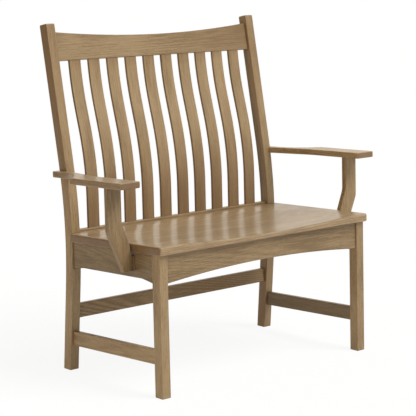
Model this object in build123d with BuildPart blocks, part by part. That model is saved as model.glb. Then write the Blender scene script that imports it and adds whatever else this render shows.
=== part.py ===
from build123d import *
from math import atan, copysign, cos, radians, sin, sqrt, tan
import os

os.makedirs("parts", exist_ok=True)

# A two-seat settle in oak. Every size is in millimetres and every angle in degrees.
# The settle is drawn square, then stands leaning back a little, because its rear legs are cut shorter.
# Its own axes are x along its width, y to the rear and z up, all square to its front legs.

# Overall
bench_width = 870.0
lean_angle = 2.43
overrun = 60.0
joint_gap = 0.1
glue_line = 0.05

# Legs
leg_width = 33.0
front_leg_depth = 33.0
rear_leg_depth = 33.8
leg_ease = 2.5
foot_ease = 1.5

# Rear legs: a straight splayed foot and a straight raked post, joined by one long bend at the knee
knee_reach = 388.4
knee_height = 472.0
splay_angle = 5.1
rake_angle = 9.65
bend_radius = 1500.0
post_height = 1078.5
post_top_ease = 4.5

# Aprons
seat_underside = 421.5
apron_height = 87.0
apron_thickness = 20.0
apron_setback = 5.0
apron_arch_rise = 21.0
apron_ease = 1.6

# Lower back rail, which closes the seat frame at the rear and holds the feet of the slats
rail_reveal = 7.3
rail_height = 92.0
rail_thickness = 20.0
rail_setback = 7.5
rail_ease = 1.5

# Crest rail, whose places are measured down from the tops of the posts
crest_bottom_drop = 113.5
crest_middle_drop = 47.0
crest_end_rise = 20.5
crest_thickness = 20.0
crest_setback = 8.5
crest_top_ease = 1.8
crest_bottom_ease = 1.5

# Back slats, whose two bends are placed by shares of the height between the rails
slat_count = 10
slat_end_gap = 45.25
slat_width = 43.9
slat_thickness = 8.8
slat_ease = 2.0
slat_foot_entry = 12.0
slat_head_entry = 8.0
slat_foot_setback = 6.0
slat_head_setback = 1.45
slat_top_slope = 4.5
slat_bend_shares = (0.3858, 0.8631)
slat_head_bent_share = 0.95

# Seat
seat_thickness = 25.0
seat_front_overhang = 14.0
seat_side_overhang = 6.5
seat_post_gap = 2.5
seat_corner_radius = 10.0
seat_top_ease = 5.5
seat_bottom_ease = 3.0
seat_board_count = 4
scoop_depth = 13.0
scoop_end_margin = 41.5
scoop_lowest_reach = 105.0
scoop_rear_margin = 40.0

# Stretchers
stretcher_height = 44.4
stretcher_thickness = 16.0
stretcher_ease = 2.0
side_stretcher_top = 140.9
rear_stretcher_top = 223.1

# Tenons
tenon_thickness = 8.0
tenon_shoulder = 9.0
rail_tenon_length = 13.0
side_tenon_length = 12.0

# Arms
arm_top = 635.0
arm_thickness = 19.0
arm_front_reach = 42.0
arm_inner_offset = 24.0
arm_width = 76.0
arm_lap = 8.6
arm_inner_bend_lead = 164.45
arm_inner_bend_radius = 300.0
arm_tongue_width = 23.0
arm_tongue_overhang = 7.25
arm_flare_corner_lead = 139.45
arm_cove_radius = 143.0
arm_front_corner_radius = 7.0
arm_tongue_corner_radius = 4.0
arm_flare_corner_radius = 4.0
arm_ease = 3.0

# Arm supports, whose upper bends are placed and sized by shares of their height above the waist
support_front_reach = 112.0
support_thickness = 16.0
support_width = 51.0
support_arm_margin = 9.0
support_seat_gap = 8.0
support_waist_rise = 0.5
support_straight_drop = 12.5
support_foot_gap = 11.0
support_foot_width = 30.7
support_foot_rise = 30.0
support_inner_bend_share = 0.3717
support_outer_bend_share = 0.236
support_bend_radius_share = 0.2655
support_screw_shares = (0.28, 0.8)
support_ease = 2.0
spacer_setback = 0.5
spacer_margin = 2.0

# Corner blocks and the brace under the seat
block_leg = 88.0
block_height = 30.0
block_screw_place = 50.0
block_seat_screw_place = 24.0
brace_height = 40.0
brace_thickness = 20.0
brace_tenon_length = 8.0
brace_screw_shares = (0.274, 0.691)

# Screws and dowels
screw_radius = 2.2
screw_head_radius = 4.2
screw_head_height = 2.6
screw_bite = 14.0
brace_screw_bite = 7.0
screw_slot_width = 1.0
screw_slot_depth = 1.0
block_screw_well = 15.0
seat_screw_well = 10.0
brace_screw_well = 22.0
dowel_radius = 4.0
arm_dowel_in_post = 18.0
arm_dowel_in_tongue = 12.0
arm_dowel_spacing = 17.0
support_dowel_in_arm = 10.0
support_dowel_in_support = 16.0
support_dowel_spacing = 26.0

# Places worked out from the sizes above
half_width = bench_width / 2
leg_inner = half_width - leg_width
leg_middle = half_width - leg_width / 2
lean = radians(lean_angle)
rake = radians(rake_angle)
splay = radians(splay_angle)
apron_bottom = seat_underside - apron_height
apron_front = apron_setback
apron_back = apron_front + apron_thickness
apron_outer = half_width - apron_setback
apron_inner = apron_outer - apron_thickness
seat_top = seat_underside + seat_thickness
seat_half_width = half_width + seat_side_overhang
rail_top = seat_top + rail_reveal
rail_bottom = rail_top - rail_height
crest_bottom = post_height - crest_bottom_drop
crest_middle_top = post_height - crest_middle_drop


def rear_leg_front(height):
    """How far back the front face of a rear leg is at a height, on its straight stretches."""
    if height < knee_height:
        return knee_reach + (knee_height - height) * tan(splay)
    return knee_reach + (height - knee_height) * tan(rake)


# The long bend pulls the knee back from the corner of the two straight stretches
knee_turn = splay + rake
knee_face = knee_reach + bend_radius * (1 / cos(knee_turn / 2) - 1)
rail_front = knee_face + rail_setback
rail_back = rail_front + rail_thickness
post_top_reach = rear_leg_front(post_height) + rear_leg_depth * cos(rake)
post_top_rear_height = post_height - rear_leg_depth * sin(rake)

# The settle reaches from its front feet back to the eased rear corner of its post tops
deepest_slope = rake + lean
depth_overall = (
    post_top_reach * cos(lean)
    + post_top_rear_height * sin(lean)
    + post_top_ease * (1 - sin(deepest_slope) - cos(deepest_slope))
)

bench = Plane(
    origin=(0, -depth_overall / 2, 0),
    x_dir=(1, 0, 0),
    z_dir=(0, sin(lean), cos(lean)),
)

up = Axis(bench.origin, bench.z_dir)
rearward = Axis(bench.origin, bench.y_dir)


def side_plane(x):
    """A plane seen from the side, whose own axes are the settle's y and z."""
    return Plane(origin=bench.from_local_coords((x, 0, 0)), x_dir=bench.y_dir, z_dir=bench.x_dir)


def front_plane(y):
    """A plane seen from the front, whose own axes are the settle's x and z. It faces forward."""
    return Plane(origin=bench.from_local_coords((0, y, 0)), x_dir=bench.x_dir, z_dir=-bench.y_dir)


# The face of the raked posts, measured from the knee upwards
post_face = Plane(
    origin=bench.from_local_coords((0, knee_reach, knee_height)),
    x_dir=bench.x_dir,
    z_dir=-bench.y_dir * cos(rake) + bench.z_dir * sin(rake),
)


def up_post(height, depth=0):
    """Length up the raked post from the knee to a height, on its face or at a depth behind it."""
    return (height - knee_height) / cos(rake) + depth * tan(rake)


def save(piece, name):
    """Name a finished piece and write it."""
    piece.part.label = name
    export_step(piece.part, f"parts/{name}.step")


def span_middle(span):
    return (span[0] + span[1]) / 2


def span_length(span):
    return abs(span[1] - span[0])


def mid_span(middle, size):
    return (middle - size / 2, middle + size / 2)


def mirrored(side, span):
    """A span on the right-hand side, or its mirror image on the left."""
    return (side * span[0], side * span[1])


def block(x_span, y_span, z_span, mode=Mode.ADD, grow=0):
    """A square-cornered block between two places on each axis of the settle, grown on every side."""
    with BuildSketch(bench.offset(min(z_span) - grow)) as base:
        with Locations((span_middle(x_span), span_middle(y_span))):
            Rectangle(span_length(x_span) + 2 * grow, span_length(y_span) + 2 * grow)
    extrude(base.sketch, amount=span_length(z_span) + 2 * grow, mode=mode)


def rear_leg_side_view(x, top_ease=0, grow=0):
    """The side view of a rear leg, from below the floor to its top, on a plane across the settle."""
    low = -overrun
    with BuildSketch(side_plane(x)) as side_view:
        with BuildLine():
            FilletPolyline(
                (rear_leg_front(low), low),
                (knee_reach, knee_height),
                (rear_leg_front(post_height), post_height),
                radius=bend_radius,
            )
            offset(amount=rear_leg_depth, side=Side.RIGHT)
        make_face()
        if top_ease:
            fillet(side_view.vertices().sort_by(Axis.Y)[-2:], top_ease)
        if grow:
            offset(amount=grow, kind=Kind.INTERSECTION)
    return side_view.sketch


def cut_round_rear_leg(side, outward=glue_line, gap=glue_line):
    """Cut away the room that a rear leg takes, with a gap round it, and some of the room outside it."""
    near = side * (leg_inner - glue_line)
    far = side * (half_width + outward)
    extrude(rear_leg_side_view(min(near, far), grow=gap), amount=abs(far - near), mode=Mode.SUBTRACT)


# Tenons, each as its spans on the right-hand side of the settle
rail_tenon_x = (leg_inner, leg_inner + rail_tenon_length)
apron_tenon_z = (apron_bottom + tenon_shoulder, seat_underside - tenon_shoulder)
front_apron_tenon = (
    rail_tenon_x,
    mid_span((apron_front + apron_back) / 2, tenon_thickness),
    apron_tenon_z,
)
lower_rail_tenon = (
    rail_tenon_x,
    mid_span((rail_front + rail_back) / 2, tenon_thickness),
    (rail_bottom + tenon_shoulder, rail_top - tenon_shoulder),
)
rear_stretcher_bottom = rear_stretcher_top - stretcher_height
rear_stretcher_middle = (
    rear_leg_front((rear_stretcher_top + rear_stretcher_bottom) / 2) + rear_leg_depth / cos(splay) / 2
)
rear_stretcher_tenon = (
    rail_tenon_x,
    mid_span(rear_stretcher_middle, tenon_thickness),
    (rear_stretcher_bottom + tenon_shoulder, rear_stretcher_top - tenon_shoulder),
)
side_stretcher_bottom = side_stretcher_top - stretcher_height
side_apron_tenon_x = mid_span((apron_outer + apron_inner) / 2, tenon_thickness)
side_apron_tenon_y = (front_leg_depth - side_tenon_length, knee_face + side_tenon_length)
side_stretcher_tenon_x = mid_span(leg_middle, tenon_thickness)
side_stretcher_tenon_z = (side_stretcher_bottom + tenon_shoulder, side_stretcher_top - tenon_shoulder)
side_stretcher_tenon_y = (
    front_leg_depth - side_tenon_length,
    rear_leg_front(side_stretcher_tenon_z[0]) + side_tenon_length,
)
side_apron_tenon = (side_apron_tenon_x, side_apron_tenon_y, apron_tenon_z)
side_stretcher_tenon = (side_stretcher_tenon_x, side_stretcher_tenon_y, side_stretcher_tenon_z)
crest_foot = up_post(crest_bottom, crest_setback)
crest_tenon_height = up_post(crest_middle_top, crest_setback) - crest_foot - 2 * tenon_shoulder


def tenons(side, spans, mode=Mode.ADD, grow=0):
    """The tenons of one rail on one side, or with some growth the mortises for them."""
    block(mirrored(side, spans[0]), spans[1], spans[2], mode, grow)


def crest_tenon(side, mode=Mode.ADD, grow=0):
    """A tenon of the crest rail, or with some growth the mortise for it."""
    middle = crest_setback + crest_thickness / 2
    thickness = tenon_thickness + 2 * grow
    height_middle = crest_foot + tenon_shoulder + crest_tenon_height / 2
    with BuildSketch(post_face.offset(-middle - thickness / 2)) as base:
        with Locations((side * span_middle(rail_tenon_x), height_middle)):
            Rectangle(rail_tenon_length + 2 * grow, crest_tenon_height + 2 * grow)
    extrude(base.sketch, amount=thickness, mode=mode)


# Brace under the middle of the seat
brace_spans = (
    mid_span(0, brace_thickness),
    (apron_back, rail_front),
    (seat_underside - brace_height, seat_underside),
)
brace_tenon = (
    mid_span(0, tenon_thickness),
    (apron_back - brace_tenon_length, rail_front + brace_tenon_length),
    (seat_underside - brace_height + tenon_shoulder, seat_underside - tenon_shoulder),
)

# Arms and their supports, in places on the right-hand side
arm_inner = half_width + arm_inner_offset
arm_outer = arm_inner + arm_width
arm_bottom = arm_top - arm_thickness
arm_middle_height = (arm_top + arm_bottom) / 2
post_face_at_arm = rear_leg_front(arm_middle_height)
post_middle_at_arm = post_face_at_arm + rear_leg_depth / cos(rake) / 2
post_back_at_arm = post_face_at_arm + rear_leg_depth / cos(rake)
arm_inner_bend_reach = post_face_at_arm - arm_inner_bend_lead
arm_flare_corner_reach = post_face_at_arm - arm_flare_corner_lead
arm_tongue_end = post_back_at_arm + arm_tongue_overhang
tongue_outer = half_width + arm_tongue_width
cove_width = arm_outer - tongue_outer
cove_start_reach = arm_flare_corner_reach + sqrt(arm_cove_radius**2 - (arm_cove_radius - cove_width) ** 2)
support_outer = arm_outer - support_arm_margin
support_inner = support_outer - support_width
support_middle = support_front_reach + support_thickness / 2
support_back_reach = support_front_reach + support_thickness
support_waist_height = seat_top + support_waist_rise
support_rise = arm_bottom - support_waist_height
support_foot_height = apron_bottom + support_foot_rise
support_straight_height = seat_underside - support_straight_drop
support_straight_length = support_straight_height - support_foot_height
support_foot_inner = apron_outer + support_foot_gap
support_foot_outer = support_foot_inner + support_foot_width

# Places of the dowels, each on the plane that its length stands square to
arm_dowel_places = [
    (post_middle_at_arm + step * arm_dowel_spacing / 2, arm_middle_height) for step in (-1, 1)
]
support_dowel_reaches = mid_span(support_outer - support_width / 2, support_dowel_spacing)


def round_bar(plane, place, start, end, radius, mode=Mode.ADD):
    """A round bar or hole square to a plane, between two distances in front of it."""
    with BuildSketch(plane.offset(min(start, end))) as base:
        with Locations(place):
            Circle(radius)
    extrude(base.sketch, amount=abs(end - start), mode=mode)


def screw_shape(plane, place, head, tip, grow=0, mode=Mode.ADD):
    """A flat-head screw whose head's face and tip are at two distances in front of a plane."""
    inward = 1 if tip > head else -1
    neck = head + inward * screw_head_height
    with BuildSketch(plane.offset(head)) as rim:
        with Locations(place):
            Circle(screw_head_radius + grow)
    with BuildSketch(plane.offset(neck)) as throat:
        with Locations(place):
            Circle(screw_radius + grow)
    loft([rim.sketch, throat.sketch], mode=mode)
    round_bar(plane, place, neck, tip + inward * grow, screw_radius + grow, mode)


def screw(plane, place, head, tip):
    """A flat-head screw with its driver slot."""
    inward = 1 if tip > head else -1
    screw_shape(plane, place, head, tip)
    with BuildSketch(plane.offset(min(head, head + inward * screw_slot_depth))) as slot:
        with Locations(place):
            Rectangle(2 * screw_head_radius, screw_slot_width)
    extrude(slot.sketch, amount=screw_slot_depth, mode=Mode.SUBTRACT)


def screw_hole(plane, place, head, tip, well=0):
    """The hole that a screw fills, with a well in front of its head."""
    inward = 1 if tip > head else -1
    screw_shape(plane, place, head, tip, glue_line, Mode.SUBTRACT)
    if well:
        well_end = head - inward * well
        round_bar(plane, place, head, well_end, screw_head_radius + joint_gap, Mode.SUBTRACT)


def screw_lines():
    """Every screw of the settle by group: its plane, its place there, its head, its tip and its well."""
    lines = {"seat_screws": [], "corner_block_screws": [], "arm_support_screws": []}
    block_middle = seat_underside - block_height / 2
    thickness_behind_head = block_leg - block_screw_place - block_screw_well
    for corner_y, inward in ((apron_back, 1), (rail_front, -1)):
        for side in (-1, 1):
            lines["corner_block_screws"] += [
                (
                    front_plane(0),
                    (side * (apron_inner - block_screw_place), block_middle),
                    -corner_y - inward * thickness_behind_head,
                    -corner_y + inward * screw_bite,
                    block_screw_well,
                ),
                (
                    side_plane(0),
                    (corner_y + inward * block_screw_place, block_middle),
                    side * (apron_inner - thickness_behind_head),
                    side * (apron_inner + screw_bite),
                    block_screw_well,
                ),
            ]
            seat_screw_x = side * (apron_inner - block_seat_screw_place)
            seat_screw_y = corner_y + inward * block_seat_screw_place
            seat_screw_head = seat_underside - block_height + seat_screw_well
            seat_screw_tip = seat_underside + screw_bite
            seat_screw_place = (seat_screw_x, seat_screw_y)
            lines["seat_screws"].append(
                (bench, seat_screw_place, seat_screw_head, seat_screw_tip, seat_screw_well)
            )
    brace_screw_head = seat_underside - brace_height + brace_screw_well
    brace_screw_tip = seat_underside + brace_screw_bite
    for share in brace_screw_shares:
        brace_screw_y = apron_back + share * (rail_front - apron_back)
        lines["seat_screws"].append(
            (bench, (0, brace_screw_y), brace_screw_head, brace_screw_tip, brace_screw_well)
        )
    for side in (-1, 1):
        for share in support_screw_shares:
            lines["arm_support_screws"].append(
                (
                    side_plane(0),
                    (support_middle, support_foot_height + share * support_straight_length),
                    side * apron_inner,
                    side * (apron_outer + support_foot_gap + screw_bite),
                    0,
                )
            )
    return lines


screws = screw_lines()


def cut_screw_holes(group):
    """Cut the holes and wells of one group of screws, wherever they meet the piece being made."""
    for line in screws[group]:
        screw_hole(*line)


# Rear legs
for side, hand in ((-1, "left"), (1, "right")):
    with BuildPart() as rear_leg:
        extrude(rear_leg_side_view(side * leg_middle - leg_width / 2, post_top_ease), amount=leg_width)
        split(bisect_by=Plane.XY)
        foot_edges = rear_leg.faces().sort_by(Axis.Z)[0].edges()
        long_edges = rear_leg.edges().filter_by(Axis.X, reverse=True) - foot_edges
        fillet(long_edges, leg_ease)
        chamfer(rear_leg.faces().sort_by(Axis.Z)[0].edges(), foot_ease)
        tenons(side, lower_rail_tenon, Mode.SUBTRACT, joint_gap)
        tenons(side, rear_stretcher_tenon, Mode.SUBTRACT, joint_gap)
        tenons(side, side_apron_tenon, Mode.SUBTRACT, joint_gap)
        tenons(side, side_stretcher_tenon, Mode.SUBTRACT, joint_gap)
        crest_tenon(side, Mode.SUBTRACT, joint_gap)
        for place in arm_dowel_places:
            hole_end = half_width - arm_dowel_in_post - joint_gap
            round_bar(side_plane(0), place, side * hole_end, side * half_width, dowel_radius, Mode.SUBTRACT)
    save(rear_leg, f"rear_leg_{hand}")

# Front legs
for side, hand in ((-1, "left"), (1, "right")):
    with BuildPart() as front_leg:
        block(mirrored(side, (leg_inner, half_width)), (0, front_leg_depth), (-overrun, seat_underside))
        split(bisect_by=Plane.XY)
        fillet(front_leg.edges().filter_by(up), leg_ease)
        chamfer(front_leg.faces().sort_by(Axis.Z)[0].edges(), foot_ease)
        tenons(side, front_apron_tenon, Mode.SUBTRACT, joint_gap)
        tenons(side, side_apron_tenon, Mode.SUBTRACT, joint_gap)
        tenons(side, side_stretcher_tenon, Mode.SUBTRACT, joint_gap)
    save(front_leg, f"front_leg_{hand}")


def arc_radius(half_length, rise):
    """The radius of an arc that rises by a rise over its half length, or falls by it."""
    return (half_length**2 + rise**2) / rise / 2


def hollow_arc(middle, half_length, crown, rise):
    """An arc that rises or falls by a rise over its half length, drawn on past both ends by the overrun."""
    radius = arc_radius(half_length, rise)
    reach = half_length + overrun
    drop = copysign(abs(radius) - sqrt(radius**2 - reach**2), rise)
    return ThreePointArc((middle - reach, crown - drop), (middle, crown), (middle + reach, crown - drop))


def arched_board(plane, start, end, thickness):
    """An apron with a hollow lower edge, drawn on a plane, as thick as told in front of it and too long."""
    with BuildSketch(plane) as outline:
        with BuildLine():
            arch_crown = apron_bottom + apron_arch_rise
            arc = hollow_arc((start + end) / 2, (end - start) / 2, arch_crown, apron_arch_rise)
            Polyline(arc @ 1, ((arc @ 1).X, seat_underside), ((arc @ 0).X, seat_underside), arc @ 0)
        make_face()
    extrude(outline.sketch, amount=thickness)


# Front apron
with BuildPart() as front_apron:
    arched_board(front_plane(apron_back), -leg_inner, leg_inner, apron_thickness)
    chamfer(front_apron.edges().filter_by(GeomType.CIRCLE), apron_ease)
    block((-leg_inner, leg_inner), (0, apron_back), (0, seat_underside), Mode.INTERSECT)
    for side in (-1, 1):
        tenons(side, front_apron_tenon)
    block(*brace_tenon, Mode.SUBTRACT, joint_gap)
    cut_screw_holes("corner_block_screws")
save(front_apron, "front_apron")

# Side aprons
for side, hand in ((-1, "left"), (1, "right")):
    with BuildPart() as side_apron:
        inboard = min(side * apron_inner, side * apron_outer)
        arched_board(side_plane(inboard), front_leg_depth, rail_front, apron_thickness)
        chamfer(side_apron.edges().filter_by(GeomType.CIRCLE), apron_ease)
        apron_y = (front_leg_depth, rail_front)
        block(mirrored(side, (0, half_width)), apron_y, (0, seat_underside), Mode.INTERSECT)
        cut_round_rear_leg(side)
        tenons(side, side_apron_tenon)
        cut_screw_holes("corner_block_screws")
        cut_screw_holes("arm_support_screws")
    save(side_apron, f"side_apron_{hand}")

# Back slats, thin boards bent in a shallow S, whose heads stand a little behind the face of the crest rail
slat_rise = crest_bottom - rail_top
slat_bend_heights = [rail_top + share * slat_rise for share in slat_bend_shares]
slat_lower_bend_height, slat_upper_bend_height = slat_bend_heights
slat_head_height = crest_bottom + slat_head_entry
slat_foot = rail_front + slat_foot_setback
slat_head = rear_leg_front(slat_head_height) + crest_setback / cos(rake) + slat_head_setback
slat_head_rise = slat_head_height - slat_upper_bend_height
slat_upper_bend = slat_head - slat_head_rise * tan(radians(slat_top_slope))
slat_slope = atan((slat_upper_bend - slat_foot) / (slat_upper_bend_height - slat_lower_bend_height))
# The upper bend takes up nearly all of the slat's head, and the lower one has the same radius
slat_upper_turn = slat_slope - radians(slat_top_slope)
slat_bend_length = slat_head_bent_share * slat_head_rise / cos(radians(slat_top_slope))
slat_bend_radius = slat_bend_length / tan(slat_upper_turn / 2)
slat_pitch = 2 * (leg_inner - slat_end_gap - slat_width / 2) / (slat_count - 1)
back_slats = []
for number in range(slat_count):
    slat_middle = (number - (slat_count - 1) / 2) * slat_pitch
    with BuildPart() as back_slat:
        with BuildSketch(side_plane(slat_middle - slat_width / 2)):
            with BuildLine():
                FilletPolyline(
                    (slat_foot, rail_top - slat_foot_entry),
                    (slat_foot, slat_lower_bend_height),
                    (slat_upper_bend, slat_upper_bend_height),
                    (slat_head, slat_head_height),
                    radius=slat_bend_radius,
                )
                offset(amount=slat_thickness, side=Side.RIGHT)
            make_face()
        extrude(amount=slat_width)
        slat_ends = back_slat.faces().sort_by(up)
        end_edges = slat_ends[0].edges() + slat_ends[-1].edges()
        fillet(back_slat.edges().filter_by(Axis.X, reverse=True) - end_edges, slat_ease)
    save(back_slat, f"back_slat_{number + 1:02d}")
    back_slats.append(back_slat)

# Lower back rail
with BuildPart() as lower_back_rail:
    block((-leg_inner, leg_inner), (rail_front, rail_back), (rail_bottom, rail_top))
    fillet(lower_back_rail.edges().filter_by(Axis.X), rail_ease)
    for side in (-1, 1):
        tenons(side, lower_rail_tenon)
    for back_slat in back_slats:
        add(back_slat.part, mode=Mode.SUBTRACT)
    block(*brace_tenon, Mode.SUBTRACT, joint_gap)
    cut_screw_holes("corner_block_screws")
save(lower_back_rail, "lower_back_rail")

# Crest rail, with a hollow upper edge
with BuildPart() as crest_rail:
    with BuildSketch(post_face.offset(-crest_setback - crest_thickness)):
        with BuildLine():
            crest_crown = up_post(crest_middle_top, crest_setback)
            crest_rise = up_post(crest_middle_top + crest_end_rise, crest_setback) - crest_crown
            arc = hollow_arc(0, leg_inner, crest_crown, -crest_rise)
            Polyline(arc @ 1, ((arc @ 1).X, crest_foot), ((arc @ 0).X, crest_foot), arc @ 0)
        make_face()
    extrude(amount=crest_thickness)
    chamfer(crest_rail.edges().filter_by(GeomType.CIRCLE), crest_top_ease)
    fillet(crest_rail.edges().filter_by(Axis.X).sort_by(up)[:2], crest_bottom_ease)
    block((-leg_inner, leg_inner), (0, depth_overall), (0, post_height), Mode.INTERSECT)
    for side in (-1, 1):
        crest_tenon(side)
    for back_slat in back_slats:
        add(back_slat.part, mode=Mode.SUBTRACT)
save(crest_rail, "crest_rail")

# Stretchers
for side, hand in ((-1, "left"), (1, "right")):
    with BuildPart() as side_stretcher:
        stretcher_z = (side_stretcher_bottom, side_stretcher_top)
        stretcher_y = (front_leg_depth, side_stretcher_tenon_y[1])
        block(mid_span(side * leg_middle, stretcher_thickness), stretcher_y, stretcher_z)
        fillet(side_stretcher.edges().filter_by(rearward), stretcher_ease)
        cut_round_rear_leg(side)
        tenons(side, side_stretcher_tenon)
    save(side_stretcher, f"side_stretcher_{hand}")

with BuildPart() as rear_stretcher:
    stretcher_y = mid_span(rear_stretcher_middle, stretcher_thickness)
    block((-leg_inner, leg_inner), stretcher_y, (rear_stretcher_bottom, rear_stretcher_top))
    fillet(rear_stretcher.edges().filter_by(Axis.X), stretcher_ease)
    for side in (-1, 1):
        tenons(side, rear_stretcher_tenon)
save(rear_stretcher, "rear_stretcher")

# Brace
with BuildPart() as seat_brace:
    block(*brace_spans)
    block(*brace_tenon)
    cut_screw_holes("seat_screws")
save(seat_brace, "seat_brace")

# Corner blocks
for corner_y, inward, end_name in ((apron_back, 1, "front"), (rail_front, -1, "rear")):
    for side, hand in ((-1, "left"), (1, "right")):
        with BuildPart() as corner_block:
            with BuildSketch(bench.offset(seat_underside - block_height)):
                with BuildLine():
                    Polyline(
                        (side * apron_inner, corner_y),
                        (side * (apron_inner - block_leg), corner_y),
                        (side * apron_inner, corner_y + inward * block_leg),
                        close=True,
                    )
                make_face()
            extrude(amount=block_height)
            front_leg_y = (-glue_line, front_leg_depth + glue_line)
            front_leg_x = mirrored(side, (leg_inner - glue_line, half_width))
            block(front_leg_x, front_leg_y, (0, seat_underside + overrun), Mode.SUBTRACT)
            cut_round_rear_leg(side)
            cut_screw_holes("corner_block_screws")
            cut_screw_holes("seat_screws")
        save(corner_block, f"corner_block_{end_name}_{hand}")

# Seat: boards glued edge to edge, with one scoop turned about an axle that runs from front to back
scoop_half_length = seat_half_width - scoop_end_margin
scoop_reach = rail_front - scoop_rear_margin - scoop_lowest_reach
scoop_front = scoop_lowest_reach - scoop_reach
scoop_rear = scoop_lowest_reach + scoop_reach
scoop_bottom = seat_top - scoop_depth
scoop_height = scoop_bottom + arc_radius(scoop_half_length, scoop_depth)
scoop_axle = Axis(bench.from_local_coords((0, 0, scoop_height)), bench.y_dir)
with BuildPart() as seat:
    block((-seat_half_width, seat_half_width), (-seat_front_overhang, rail_front), (seat_underside, seat_top))
    fillet(seat.edges().filter_by(up).sort_by(rearward)[:2], seat_corner_radius)
    for level, ease in ((-1, seat_top_ease), (0, seat_bottom_ease)):
        rear_edges = seat.faces().sort_by(rearward)[-1].edges()
        fillet(seat.faces().sort_by(up)[level].edges() - rear_edges, ease)
    with BuildSketch(side_plane(0)) as scoop:
        with BuildLine():
            hollow = ThreePointArc(
                (scoop_front, seat_top), (scoop_lowest_reach, scoop_bottom), (scoop_rear, seat_top)
            )
            Polyline(
                hollow @ 1,
                (scoop_rear, seat_top + overrun),
                (scoop_front, seat_top + overrun),
                hollow @ 0,
            )
        make_face()
    revolve(scoop.sketch, axis=scoop_axle, mode=Mode.SUBTRACT)
    # The scoop runs out through the front edge, so that edge is eased again along the scoop
    scoop_side_radius = arc_radius(scoop_reach, scoop_depth)
    edge_reach = scoop_lowest_reach + seat_front_overhang
    edge_height = scoop_bottom + scoop_side_radius - sqrt(scoop_side_radius**2 - edge_reach**2)
    ease_back = seat_top_ease - seat_front_overhang
    ease_front = -seat_top_ease - seat_front_overhang
    with BuildSketch(side_plane(0)) as eased_edge:
        with BuildLine():
            rounding = RadiusArc(
                (-seat_front_overhang, edge_height - seat_top_ease), (ease_back, edge_height), seat_top_ease
            )
            Polyline(
                rounding @ 1,
                (ease_back, edge_height + seat_top_ease),
                (ease_front, edge_height + seat_top_ease),
                (ease_front, edge_height - seat_top_ease),
                rounding @ 0,
            )
        make_face()
    revolve(eased_edge.sketch, axis=scoop_axle, mode=Mode.SUBTRACT)
    for side in (-1, 1):
        cut_round_rear_leg(side, seat_side_overhang + overrun, seat_post_gap)
    cut_screw_holes("seat_screws")

board_depth = (rail_front + seat_front_overhang) / seat_board_count
board_joints = [number * board_depth - seat_front_overhang for number in range(seat_board_count + 1)]
board_joints[0] -= overrun
board_joints[-1] += overrun
for number, board_y in enumerate(zip(board_joints, board_joints[1:])):
    with BuildPart() as seat_board:
        add(seat.part)
        block((-bench_width, bench_width), board_y, (0, crest_bottom), Mode.INTERSECT)
    save(seat_board, f"seat_board_{number + 1}")

# Arms, which flare out in front of the posts and end in a narrow tongue beside them
arm_neck = half_width - arm_lap
neck_slope = (arm_inner - arm_neck) / (post_face_at_arm - arm_inner_bend_reach)
arm_inner_end = arm_inner - neck_slope * (arm_tongue_end - arm_inner_bend_reach)
for side, hand in ((-1, "left"), (1, "right")):
    with BuildPart() as arm:
        with BuildSketch(bench.offset(arm_bottom)):
            with BuildLine():
                inner_edge = FilletPolyline(
                    (side * arm_inner, arm_front_reach),
                    (side * arm_inner, arm_inner_bend_reach),
                    (side * arm_inner_end, arm_tongue_end),
                    radius=arm_inner_bend_radius,
                )
                cove = TangentArc(
                    (side * tongue_outer, cove_start_reach),
                    (side * arm_outer, arm_flare_corner_reach),
                    tangent=(0, -1),
                )
                Polyline(inner_edge @ 1, (side * tongue_outer, arm_tongue_end), cove @ 0)
                Polyline(cove @ 1, (side * arm_outer, arm_front_reach), inner_edge @ 0)
            make_face()
        extrude(amount=arm_thickness)
        outer_corners = arm.edges().filter_by(up).sort_by(Axis.X, reverse=side < 0)[-2:]
        fillet(outer_corners.sort_by(rearward)[-1], arm_flare_corner_radius)
        fillet(arm.edges().filter_by(up).sort_by(rearward)[:2], arm_front_corner_radius)
        fillet(arm.edges().filter_by(up).sort_by(rearward)[-2:], arm_tongue_corner_radius)
        fillet(arm.faces().filter_by(up).edges(), arm_ease)
        cut_round_rear_leg(side)
        behind_post = (post_middle_at_arm, arm_tongue_end + overrun)
        notch = mirrored(side, (0, half_width + glue_line))
        block(notch, behind_post, (0, crest_bottom), Mode.SUBTRACT)
        for place in arm_dowel_places:
            hole_end = half_width + arm_dowel_in_tongue + joint_gap
            round_bar(side_plane(0), place, side * half_width, side * hole_end, dowel_radius, Mode.SUBTRACT)
        for x in support_dowel_reaches:
            hole_end = arm_bottom + support_dowel_in_arm + joint_gap
            round_bar(bench, (side * x, support_middle), arm_bottom, hole_end, dowel_radius, Mode.SUBTRACT)
    save(arm, f"arm_{hand}")

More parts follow.
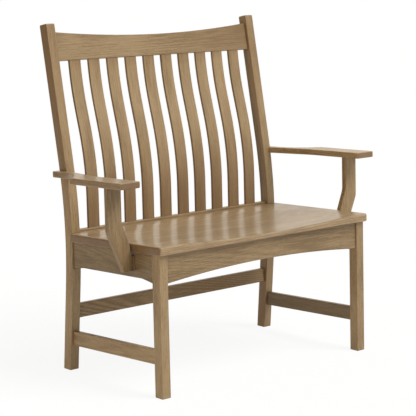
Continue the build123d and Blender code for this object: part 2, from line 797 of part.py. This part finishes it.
# Arm supports, which slant in below the arms, pass the seat and stand on spacers against the side aprons
support_inner_bend_height = support_waist_height + support_inner_bend_share * support_rise
support_outer_bend_height = support_waist_height + support_outer_bend_share * support_rise
support_bend_radius = support_bend_radius_share * support_rise
for side, hand in ((-1, "left"), (1, "right")):
    with BuildPart() as arm_support:
        with BuildSketch(front_plane(support_back_reach)):
            with BuildLine():
                inner_line = FilletPolyline(
                    (side * support_inner, arm_bottom),
                    (side * support_inner, support_inner_bend_height),
                    (side * (seat_half_width + support_seat_gap), support_waist_height),
                    (side * support_foot_inner, support_straight_height),
                    (side * support_foot_inner, support_foot_height),
                    radius=support_bend_radius,
                )
                outer_line = FilletPolyline(
                    (side * support_outer, arm_bottom),
                    (side * support_outer, support_outer_bend_height),
                    (side * support_foot_outer, support_foot_height),
                    radius=support_bend_radius,
                )
                Line(inner_line @ 1, outer_line @ 1)
                Line(inner_line @ 0, outer_line @ 0)
            make_face()
        extrude(amount=support_thickness)
        rims = arm_support.edges().filter_by(rearward, reverse=True)
        fillet(rims - arm_support.faces().sort_by(up)[-1].edges(), support_ease)
        cut_screw_holes("arm_support_screws")
        for x in support_dowel_reaches:
            hole_end = arm_bottom - support_dowel_in_support - joint_gap
            round_bar(bench, (side * x, support_middle), hole_end, arm_bottom, dowel_radius, Mode.SUBTRACT)
    save(arm_support, f"arm_support_{hand}")

    with BuildPart() as support_spacer:
        spacer_x = mirrored(side, (apron_outer, support_foot_inner))
        spacer_y = (support_front_reach + spacer_setback, support_back_reach - spacer_setback)
        spacer_z = (support_foot_height + spacer_margin, support_straight_height)
        block(spacer_x, spacer_y, spacer_z)
        cut_screw_holes("arm_support_screws")
    save(support_spacer, f"support_spacer_{hand}")

# Screws, one group for each job
for group, lines in screws.items():
    with BuildPart() as screw_group:
        for plane, place, head, tip, well in lines:
            screw(plane, place, head, tip)
    save(screw_group, group)

# Dowels, one group for each job
with BuildPart() as arm_post_dowels:
    for side in (-1, 1):
        for place in arm_dowel_places:
            start = side * (half_width - arm_dowel_in_post)
            end = side * (half_width + arm_dowel_in_tongue)
            round_bar(side_plane(0), place, start, end, dowel_radius - glue_line)
save(arm_post_dowels, "arm_post_dowels")

with BuildPart() as arm_support_dowels:
    for side in (-1, 1):
        for x in support_dowel_reaches:
            start = arm_bottom - support_dowel_in_support
            end = arm_bottom + support_dowel_in_arm
            round_bar(bench, (side * x, support_middle), start, end, dowel_radius - glue_line)
save(arm_support_dowels, "arm_support_dowels")
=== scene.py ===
import math
import random

import bpy
from mathutils import Matrix, Vector


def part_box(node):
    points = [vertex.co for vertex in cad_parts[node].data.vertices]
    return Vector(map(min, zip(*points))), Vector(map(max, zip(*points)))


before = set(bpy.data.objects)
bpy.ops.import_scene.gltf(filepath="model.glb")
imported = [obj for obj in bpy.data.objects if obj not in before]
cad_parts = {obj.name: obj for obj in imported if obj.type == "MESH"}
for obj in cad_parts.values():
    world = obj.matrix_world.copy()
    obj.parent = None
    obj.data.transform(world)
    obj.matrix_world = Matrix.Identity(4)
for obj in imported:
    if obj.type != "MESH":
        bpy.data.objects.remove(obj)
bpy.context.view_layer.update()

# Camera, found by fitting the settle's corners in the photograph
AZIMUTH = math.radians(-42.796)
ELEVATION = math.radians(9.445)
ROLL = math.radians(0.3404)
CAMERA_PLACE = (-3.45493, -3.72028, 1.34242)
LENS = 141.93
SENSOR_WIDTH = 36
SHIFT = (0.0073, -0.0160)
CLIP_END = 100

# Stain: the light, the middle and the darkest grain, the painted shade that the fades deepen to, rubbed edges
# (also painted shade in corners) and end grain
LIGHT = (0.392, 0.276, 0.148)
MIDDLE = (0.284, 0.190, 0.091)
DARK = (0.130, 0.072, 0.028)
PAINTED_SHADE = (0.185, 0.103, 0.038)
RUBBED_AND_SHADE = (0.130, 0.060, 0.020)
END_GRAIN = (0.140, 0.068, 0.024)
# Each board's stain is a little lighter or deeper than its kind's, and its grain has a seed of its own
DEPTH_RANGE = (0.96, 1.04)
BOARD_SEED = 100

# Growth rings: how a board lies in its log (degrees), how far off the pith is (metres), and the rings' wave
LOG_TILT = (0.8, 2.4)
LOG_TURN = 1.5
LOG_STRETCH = 0.12
PITH_ASIDE = 0.03
PITH_AWAY = (0.05, 0.11)
RING_WAVE = {"Distortion": 5.0, "Detail": 3.0, "Detail Scale": 22.0, "Detail Roughness": 0.6}
RING_PHASES = 6
# How smoothly the grain follows a bend (metres)
BEND_SOFTNESS = 0.12

# Noise drawn out along the grain: its scale along and across it, its detail and its roughness
STREAKS = {
    "broad": (1.8, 30.0, 3.0, 0.55),
    "fine": (12.0, 300.0, 4.0, 0.70),
    "flecks": (34.0, 620.0, 3.0, 0.70),
    "pores": (60.0, 1500.0, 1.0, 0.55),
    "cloud": (4.0, 10.0, 2.0, 0.55),
    "patches": (9.0, 30.0, 3.0, 0.55),
    "waves": (10.0, 24.0, 1.0, 0.55),
}
NOISE_SHIFT = 5
# Between which of their values the rings and the layers of noise set in, and how much they darken the grain
RINGS_SET_IN = (0.30, 0.95)
SETS_IN = {
    "broad": (0.30, 0.72),
    "fine": (0.38, 0.62),
    "flecks": (0.50, 0.68),
    "pores": (0.56, 0.68),
    "cloud": (0.35, 0.68),
    "patches": (0.25, 0.60),
}
RING_WEIGHT = 0.85
GRAIN_WEIGHTS = {"broad": 0.28, "fine": 0.50, "flecks": 0.46, "cloud": 0.34}
GRAIN_START = 0.21

# From grain to stain
MIDDLE_GAIN = 1.3
DARK_START = 0.62
DARK_GAIN = 1.1
PORE_STAIN = 0.35
# Painted shade of the fades: partly even, partly streaked with the broad grain
SHADE_EVEN = 0.7
SHADE_STREAKY = 0.5
END_STAIN = 0.74
TURNED = (0.55, 0.95)

# Rubbed edges, and painted shade in the corners where pieces meet
EDGE_RADIUS = 0.003
EDGE_SETS_IN = (0.02, 0.20)
EDGE_EVEN = 0.5
EDGE_PATCHY = 0.4
CORNER_REACH = 0.010
CORNER_OPEN = (0.20, 0.75)
CORNER_SHADE = 0.65
RAY_SAMPLES = 8

# Relief and gloss
ROUGHNESS = 0.40
ROUGHNESS_DROP = 0.06
ROUGHNESS_SWING = 0.10
BUMP_FINE = 0.5
BUMP_PORES = 0.8
BUMP_STRENGTH = 0.12
BUMP_DEPTH = 0.0006
COAT_ROUGHNESS = 0.15
RIPPLE_DEPTH = 0.0006

# Screws
ZINC_DARK = (0.52, 0.52, 0.50, 1)
ZINC_LIGHT = (0.68, 0.68, 0.65, 1)
ZINC_MARK_SCALE = 900.0
ZINC_MARKS = (0.3, 0.7)
ZINC_ROUGHNESS = 0.22
ZINC_SWING = 0.25

# Floor and room: what the camera, the sheen and the diffuse light get from them
WHITE = (1, 1, 1, 1)
SHEEN = (1.0, 0.93, 0.83, 1)
FLOOR_SIZE = 60
FLOOR_WHITE = (0.97, 0.97, 0.97, 1)
FLOOR_BOUNCE = (0.80, 0.79, 0.77, 1)
FLOOR_GLOW = 0.90
FLOOR_DIM_TO_BRIGHT = (-4.0, -0.9)
FLOOR_DIM = 0.15
FLOOR_BRIGHTER = 0.85
ROOM_COLOUR = (1.0, 0.93, 0.82, 1)
ROOM_STRENGTH = 0.3
ROOM_DIM_TO_BRIGHT = (-0.6, 0.3)
ROOM_DIM = 0.2
ROOM_BRIGHTER = 0.8

# The heights at which the bent pieces turn, and the slope to the rear that begins there
LEG_BENDS = ((-0.2, -0.047), (0.455, 0.2142))
SLAT_BENDS = ((0.2, 0.0424), (0.635, 0.304), (0.875, 0.1216))
# Painted shade: the posts darken towards their tops
POST_SHADE = ("z", 0.55, 0.95, 0.22)

# Each kind of member: how its grain, width and thickness run, and how deep and how figured its stain is.
# A piece takes the first kind that its name starts with, so arm_support_dowels looks like the arm supports.
KINDS = {
    # Painted shade on the right rear leg: darker towards its top and towards its foot
    "rear_leg_right": dict(
        order="zxy",
        depth=0.95,
        figure=0.25,
        bends=LEG_BENDS,
        side_stain_and_shade=0.30,
        painted_shades=(POST_SHADE, ("z", 0.42, 0.25, 0.45)),
    ),
    # Painted shade on the left rear leg: darker towards its top, and on its side faces higher up
    "rear_leg": dict(
        order="zxy",
        depth=0.95,
        figure=0.25,
        bends=LEG_BENDS,
        side_stain_and_shade=0.62,
        side_shade_rise=(0.30, 0.85),
        painted_shades=(POST_SHADE,),
    ),
    "front_leg_right": dict(order="zyx", depth=0.85, figure=0.25),
    "front_leg": dict(order="zyx", depth=0.90, figure=0.25),
    # Painted shade: the crest rail darkens towards its right end
    "crest_rail": dict(
        order="xzy",
        depth=0.84,
        figure=0.35,
        slant=1.0,
        ring_scale=60.0,
        painted_shades=(("x", 0.05, 0.42, 0.60),),
    ),
    "lower_back_rail": dict(order="xzy", depth=0.85),
    # Painted shade: the slats darken down towards the seat and just under the crest rail
    "back_slat": dict(
        order="zxy",
        depth=0.94,
        figure=0.20,
        side_stain_and_shade=0.70,
        bends=SLAT_BENDS,
        painted_shades=(("z", 0.72, 0.46, 0.75), ("z", 0.90, 0.965, 0.55)),
    ),
    "seat_board": dict(order="xyz", depth=0.95, figure=0.50, roughness=0.38, coat=0.42, ring_scale=60.0),
    "front_apron": dict(order="xzy", depth=0.77, figure=0.45, slant=6.0, ring_scale=70.0),
    "side_apron": dict(order="yzx", depth=0.64, figure=0.45, slant=-4.0, ring_scale=70.0),
    # The right side stretcher's low depth is painted shade under the seat
    "side_stretcher_right": dict(order="yzx", depth=0.50, figure=0.40, slant=4.0, ring_scale=60.0),
    "side_stretcher": dict(order="yzx", depth=1.0, figure=0.40, slant=4.0, ring_scale=60.0),
    # Painted shade: the rear stretcher darkens towards the right
    "rear_stretcher": dict(
        order="xzy",
        depth=1.0,
        figure=2.0,
        slant=14.0,
        ring_scale=55.0,
        painted_shades=(("x", -0.1, 0.4, 0.55),),
    ),
    "arm_support_right": dict(order="zxy", depth=0.96, figure=0.35),
    # Painted shade: the arm supports darken towards their feet
    "arm_support": dict(order="zxy", depth=0.77, figure=0.40, painted_shades=(("z", 0.50, 0.38, 0.40),)),
    "support_spacer": dict(order="zyx", depth=0.80, roughness=0.55),
    "arm_left": dict(order="yxz", depth=0.88, figure=0.35, side_stain_and_shade=0.35, roughness=0.36, coat=0.30),
    "arm_right": dict(order="yxz", depth=1.0, figure=0.35, side_stain_and_shade=0.1, roughness=0.36, coat=0.30),
    "arm_post_dowels": dict(order="xyz", roughness=0.6),
    "corner_block": dict(order="xyz", roughness=0.6),
    "seat_brace": dict(order="yzx", roughness=0.6),
}


def fitted_camera():
    """The photograph's camera."""
    back = Vector((
        math.sin(AZIMUTH) * math.cos(ELEVATION),
        -math.cos(AZIMUTH) * math.cos(ELEVATION),
        math.sin(ELEVATION),
    ))
    level = Vector((math.cos(AZIMUTH), math.sin(AZIMUTH), 0))
    upward = back.cross(level)
    right = math.cos(ROLL) * level + math.sin(ROLL) * upward
    above = math.cos(ROLL) * upward - math.sin(ROLL) * level
    camera = bpy.data.objects.new("camera", bpy.data.cameras.new("camera"))
    turned = Matrix((right, above, back)).transposed().to_4x4()
    camera.matrix_world = Matrix.Translation(CAMERA_PLACE) @ turned
    camera.data.lens = LENS
    camera.data.sensor_width = SENSOR_WIDTH
    camera.data.shift_x, camera.data.shift_y = SHIFT
    camera.data.clip_end = CLIP_END
    bpy.context.scene.collection.objects.link(camera)
    return camera


def tree_of(owner):
    """An empty node tree for a material or a world."""
    owner.use_nodes = True
    owner.node_tree.nodes.clear()
    return owner.node_tree


def add(tree, kind, inputs=None, **settings):
    """A node with its settings and its inputs: values, or sockets to link from."""
    node = tree.nodes.new(kind)
    for name, value in settings.items():
        setattr(node, name, value)
    for name, value in (inputs or {}).items():
        if isinstance(value, bpy.types.NodeSocket):
            tree.links.new(value, node.inputs[name])
        else:
            node.inputs[name].default_value = value
    return node


def math_node(tree, operation, first, second=0.0, clamp=False):
    return add(tree, "ShaderNodeMath", {0: first, 1: second}, operation=operation, use_clamp=clamp).outputs[0]


def plus(tree, first, second):
    return math_node(tree, "ADD", first, second)


def minus(tree, first, second, clamp=False):
    return math_node(tree, "SUBTRACT", first, second, clamp)


def times(tree, first, second, clamp=False):
    return math_node(tree, "MULTIPLY", first, second, clamp)


def mix_colour(tree, factor, first, second):
    """A blend from the first colour to the second one: of the node's inputs, 6 and 7 are the colours."""
    return add(tree, "ShaderNodeMix", {0: factor, 6: first, 7: second}, data_type="RGBA").outputs[2]


def ramp(tree, factor, low, high):
    """0 below low, 1 above high and a smooth rise between them."""
    span = {"Value": factor, "From Min": low, "From Max": high, "To Min": 0.0, "To Max": 1.0}
    return add(tree, "ShaderNodeMapRange", span, interpolation_type="SMOOTHSTEP").outputs["Result"]


def unbent(tree, depth, height, bends):
    """The place from front to rear, less how far a bent piece has leant back at that height."""
    slope_before = 0.0
    for start, slope in bends:
        rise = minus(tree, height, start)
        rise = add(tree, "ShaderNodeMath", {0: rise, 1: 0.0, 2: BEND_SOFTNESS}, operation="SMOOTH_MAX")
        depth = minus(tree, depth, times(tree, rise.outputs[0], slope - slope_before))
        slope_before = slope
    return depth


def growth_rings(tree, board, dice, slant, scale):
    """The rings of the log, which the board leaves at a slight tilt, so that they break out as arches."""
    tilt = math.radians(dice.uniform(*LOG_TILT)) * dice.choice((-1, 1))
    turn = math.radians(slant + dice.uniform(-LOG_TURN, LOG_TURN))
    pith = (0, dice.uniform(-PITH_ASIDE, PITH_ASIDE), dice.uniform(*PITH_AWAY) * dice.choice((-1, 1)))
    log = add(tree, "ShaderNodeMapping", {"Vector": board, "Location": pith, "Rotation": (0, tilt, turn)})
    log = add(tree, "ShaderNodeMapping", {"Vector": log.outputs[0], "Scale": (LOG_STRETCH, 1, 1)})
    phase = dice.uniform(0, RING_PHASES)
    wave = {"Vector": log.outputs[0], "Scale": scale, "Phase Offset": phase, **RING_WAVE}
    shape = dict(wave_type="RINGS", rings_direction="X", wave_profile="SIN")
    return add(tree, "ShaderNodeTexWave", wave, **shape).outputs["Fac"]


def oak(
    name,
    order,
    centre,
    seed,
    roughness=ROUGHNESS,
    coat=0.0,
    depth=1.0,
    figure=0.5,
    slant=0.0,
    ring_scale=38.0,
    side_stain_and_shade=0.0,
    side_shade_rise=(),
    bends=(),
    painted_shades=(),
):
    """Stained oak for one board: growth rings that break out as arches, streaks, pores and rubbed edges.

    The order names the axes that run along the board's grain, across its width and through its thickness.
    The depth scales how light the stain is, and the slant in degrees turns the rings across the board's face.
    The bends are heights and the slopes to the rear that begin there, so that the grain follows a bent piece.
    The side stain is how much darker the faces that end the board's width are: stain on some boards,
    painted shade on the rear legs. Where it is given, the side rise is the two heights between which that
    sets in. A fade is painted shade: an axis, the places where it is lightest and darkest on it, and how
    much darker it gets.
    """
    dice = random.Random(seed)
    material = bpy.data.materials.new(name)
    tree = tree_of(material)
    coordinates = add(tree, "ShaderNodeTexCoord").outputs
    places = dict(zip("xyz", add(tree, "ShaderNodeSeparateXYZ", {0: coordinates["Object"]}).outputs))
    straight = dict(places, y=unbent(tree, places["y"], places["z"], bends))
    middle = dict(zip("xyz", centre))
    local = [minus(tree, straight[axis], middle[axis]) for axis in order]
    board = add(tree, "ShaderNodeCombineXYZ", dict(enumerate(local))).outputs[0]
    rings = growth_rings(tree, board, dice, slant, ring_scale)
    shift = tuple(dice.uniform(-NOISE_SHIFT, NOISE_SHIFT) for _ in range(3))

    def streaks(layer):
        """A layer's noise, drawn out along the grain."""
        along, across, detail, rough = STREAKS[layer]
        place = {"Vector": board, "Location": shift, "Scale": (along, across, across)}
        drawn_out = add(tree, "ShaderNodeMapping", place).outputs[0]
        noise = {"Vector": drawn_out, "Scale": 1.0, "Detail": detail, "Roughness": rough}
        return add(tree, "ShaderNodeTexNoise", noise).outputs["Fac"]

    def stain(colour):
        return tuple(depth * part for part in colour) + (1.0,)

    patterns = {layer: streaks(layer) for layer in SETS_IN}
    layers = {layer: ramp(tree, patterns[layer], *limits) for layer, limits in SETS_IN.items()}
    fine = patterns["fine"]
    grain = times(tree, ramp(tree, rings, *RINGS_SET_IN), RING_WEIGHT * figure)
    for layer, weight in GRAIN_WEIGHTS.items():
        grain = plus(tree, grain, times(tree, layers[layer], weight))
    grain = minus(tree, grain, GRAIN_START, clamp=True)

    colour = mix_colour(tree, times(tree, grain, MIDDLE_GAIN, clamp=True), stain(LIGHT), stain(MIDDLE))
    deep = times(tree, minus(tree, grain, DARK_START, clamp=True), DARK_GAIN, clamp=True)
    colour = mix_colour(tree, deep, colour, stain(DARK))
    colour = mix_colour(tree, times(tree, layers["pores"], PORE_STAIN), colour, stain(DARK))
    # Painted shade: darker along an axis towards one end
    for axis, lightest, deepest, amount in painted_shades:
        part = ramp(tree, places[axis], min(lightest, deepest), max(lightest, deepest))
        if deepest < lightest:
            part = minus(tree, 1.0, part)
        part = times(tree, part, plus(tree, SHADE_EVEN, times(tree, layers["broad"], SHADE_STREAKY)))
        colour = mix_colour(tree, times(tree, part, amount, clamp=True), colour, stain(PAINTED_SHADE))

    # End grain drinks more stain, and on some boards the narrow sides darken too; on the rear legs that is
    # painted shade
    facing = dict(zip("xyz", add(tree, "ShaderNodeSeparateXYZ", {0: coordinates["Normal"]}).outputs))
    for axis, amount, rise in ((order[0], END_STAIN, ()), (order[1], side_stain_and_shade, side_shade_rise)):
        turned = ramp(tree, math_node(tree, "ABSOLUTE", facing[axis]), *TURNED)
        turned = times(tree, turned, amount)
        if rise:
            turned = times(tree, turned, ramp(tree, places["z"], *rise))
        colour = mix_colour(tree, turned, colour, stain(END_GRAIN))

    # The stain is rubbed darker along every edge: there a bevelled normal leaves the face's own
    soft = add(tree, "ShaderNodeBevel", {"Radius": EDGE_RADIUS}, samples=RAY_SAMPLES).outputs[0]
    flat = add(tree, "ShaderNodeNewGeometry").outputs["Normal"]
    lean = add(tree, "ShaderNodeVectorMath", {0: soft, 1: flat}, operation="DOT_PRODUCT").outputs["Value"]
    edge = ramp(tree, minus(tree, 1.0, lean), *EDGE_SETS_IN)
    edge = times(tree, edge, plus(tree, EDGE_EVEN, times(tree, layers["patches"], EDGE_PATCHY)))
    colour = mix_colour(tree, edge, colour, stain(RUBBED_AND_SHADE))
    # Painted shade: the colour darkens in the corners where pieces meet, where less light reaches
    nearby = {"Distance": CORNER_REACH}
    corner = add(tree, "ShaderNodeAmbientOcclusion", nearby, samples=RAY_SAMPLES).outputs["AO"]
    corner = minus(tree, 1.0, ramp(tree, corner, *CORNER_OPEN))
    colour = mix_colour(tree, times(tree, corner, CORNER_SHADE), colour, stain(RUBBED_AND_SHADE))

    height = minus(tree, times(tree, fine, BUMP_FINE), times(tree, layers["pores"], BUMP_PORES))
    relief = {"Height": height, "Strength": BUMP_STRENGTH, "Distance": BUMP_DEPTH}
    bump = add(tree, "ShaderNodeBump", relief).outputs[0]
    gloss = plus(tree, roughness - ROUGHNESS_DROP, times(tree, fine, ROUGHNESS_SWING))
    gloss = plus(tree, gloss, times(tree, layers["flecks"], ROUGHNESS_SWING))
    shader = add(tree, "ShaderNodeBsdfPrincipled", {"Base Color": colour, "Roughness": gloss, "Normal": bump})
    if coat:
        # The lacquer is not quite level, so what it mirrors wavers
        ripple = {"Height": streaks("waves"), "Strength": 1.0, "Distance": RIPPLE_DEPTH, "Normal": bump}
        tree.links.new(add(tree, "ShaderNodeBump", ripple).outputs[0], shader.inputs["Coat Normal"])
        shader.inputs["Coat Weight"].default_value = coat
        shader.inputs["Coat Roughness"].default_value = COAT_ROUGHNESS
    add(tree, "ShaderNodeOutputMaterial", {"Surface": shader.outputs[0]})
    return material


def zinc(name):
    """Bright zinc plating with faint marks."""
    material = bpy.data.materials.new(name)
    tree = tree_of(material)
    place = add(tree, "ShaderNodeTexCoord").outputs["Object"]
    noise = {"Vector": place, "Scale": ZINC_MARK_SCALE, "Detail": 3.0}
    marks = add(tree, "ShaderNodeTexNoise", noise).outputs["Fac"]
    colour = mix_colour(tree, ramp(tree, marks, *ZINC_MARKS), ZINC_DARK, ZINC_LIGHT)
    gloss = plus(tree, ZINC_ROUGHNESS, times(tree, marks, ZINC_SWING))
    metal = {"Base Color": colour, "Roughness": gloss, "Metallic": 1.0}
    shader = add(tree, "ShaderNodeBsdfPrincipled", metal)
    add(tree, "ShaderNodeOutputMaterial", {"Surface": shader.outputs[0]})
    return material


def floor_paper():
    """White to the camera but for a faint shadow. In the sheen it is dimmer far to the left."""
    material = bpy.data.materials.new("floor_paper")
    tree = tree_of(material)
    path = add(tree, "ShaderNodeLightPath").outputs
    place = add(tree, "ShaderNodeTexCoord").outputs["Object"]
    across = add(tree, "ShaderNodeSeparateXYZ", {0: place}).outputs[0]
    strength = plus(tree, times(tree, ramp(tree, across, *FLOOR_DIM_TO_BRIGHT), FLOOR_BRIGHTER), FLOOR_DIM)
    strength = math_node(tree, "MAXIMUM", strength, path["Is Camera Ray"])
    seen = math_node(tree, "MAXIMUM", path["Is Camera Ray"], path["Is Glossy Ray"])
    paint = add(tree, "ShaderNodeBsdfDiffuse", {"Color": mix_colour(tree, seen, FLOOR_BOUNCE, FLOOR_WHITE)})
    colour = mix_colour(tree, path["Is Glossy Ray"], WHITE, SHEEN)
    glow = add(tree, "ShaderNodeEmission", {"Color": colour, "Strength": strength})
    share = times(tree, seen, FLOOR_GLOW)
    shader = add(tree, "ShaderNodeMixShader", {0: share, 1: paint.outputs[0], 2: glow.outputs[0]})
    add(tree, "ShaderNodeOutputMaterial", {"Surface": shader.outputs[0]})
    return material


def room():
    """A dim, warm and even room, white to the camera, and in the sheen brighter towards the right."""
    world = bpy.data.worlds.new("room")
    tree = tree_of(world)
    path = add(tree, "ShaderNodeLightPath").outputs
    direction = add(tree, "ShaderNodeTexCoord").outputs["Generated"]
    across = add(tree, "ShaderNodeSeparateXYZ", {0: direction}).outputs[0]
    sheen = plus(tree, times(tree, ramp(tree, across, *ROOM_DIM_TO_BRIGHT), ROOM_BRIGHTER), ROOM_DIM)
    brighter = times(tree, path["Is Glossy Ray"], minus(tree, sheen, ROOM_STRENGTH))
    strength = plus(tree, brighter, ROOM_STRENGTH)
    strength = math_node(tree, "MAXIMUM", strength, path["Is Camera Ray"])
    colour = mix_colour(tree, path["Is Camera Ray"], ROOM_COLOUR, WHITE)
    colour = mix_colour(tree, path["Is Glossy Ray"], colour, SHEEN)
    sky = add(tree, "ShaderNodeBackground", {"Color": colour, "Strength": strength})
    add(tree, "ShaderNodeOutputWorld", {"Surface": sky.outputs[0]})
    return world


def add_sun(name, energy, spread, towards, colour=(1.0, 1.0, 1.0), in_sheen=True):
    """A sun, the angle in degrees that it is spread over, and the direction in which it stands."""
    sun = bpy.data.objects.new(name, bpy.data.lights.new(name, "SUN"))
    sun.data.energy = energy
    sun.data.angle = math.radians(spread)
    sun.data.color = colour
    sun.visible_glossy = in_sheen
    sun.rotation_euler = Vector(towards).to_track_quat("Z", "Y").to_euler()
    bpy.context.scene.collection.objects.link(sun)


bpy.context.scene.camera = fitted_camera()
bpy.context.scene.view_settings.view_transform = "Standard"

screw_metal = zinc("screw_zinc")
for number, (node, thing) in enumerate(sorted(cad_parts.items())):
    if node.endswith("screws"):
        finish = screw_metal
    else:
        kind = dict(next(KINDS[start] for start in KINDS if node.startswith(start)))
        low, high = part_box(node)
        centre = [(a + b) / 2 for a, b in zip(low, high)]
        kind["depth"] = kind.get("depth", 1.0) * random.Random(number).uniform(*DEPTH_RANGE)
        finish = oak(f"oak_{node}", centre=centre, seed=BOARD_SEED + number, **kind)
    thing.data.materials.clear()
    thing.data.materials.append(finish)

bpy.ops.mesh.primitive_plane_add(size=FLOOR_SIZE)
floor = bpy.context.object
floor.name = "floor"
floor.data.materials.append(floor_paper())

# A broad key at the front right, a warm fill low on the left and a weaker light from behind
bpy.context.scene.world = room()
add_sun("key", energy=2.7, spread=35, towards=(0.30, -0.55, 0.80))
add_sun("fill", energy=1.0, spread=30, towards=(-0.95, -0.25, 0.10), colour=(1.0, 0.86, 0.68), in_sheen=False)
add_sun("rear", energy=0.9, spread=50, towards=(0.25, 0.95, 0.20), in_sheen=False)
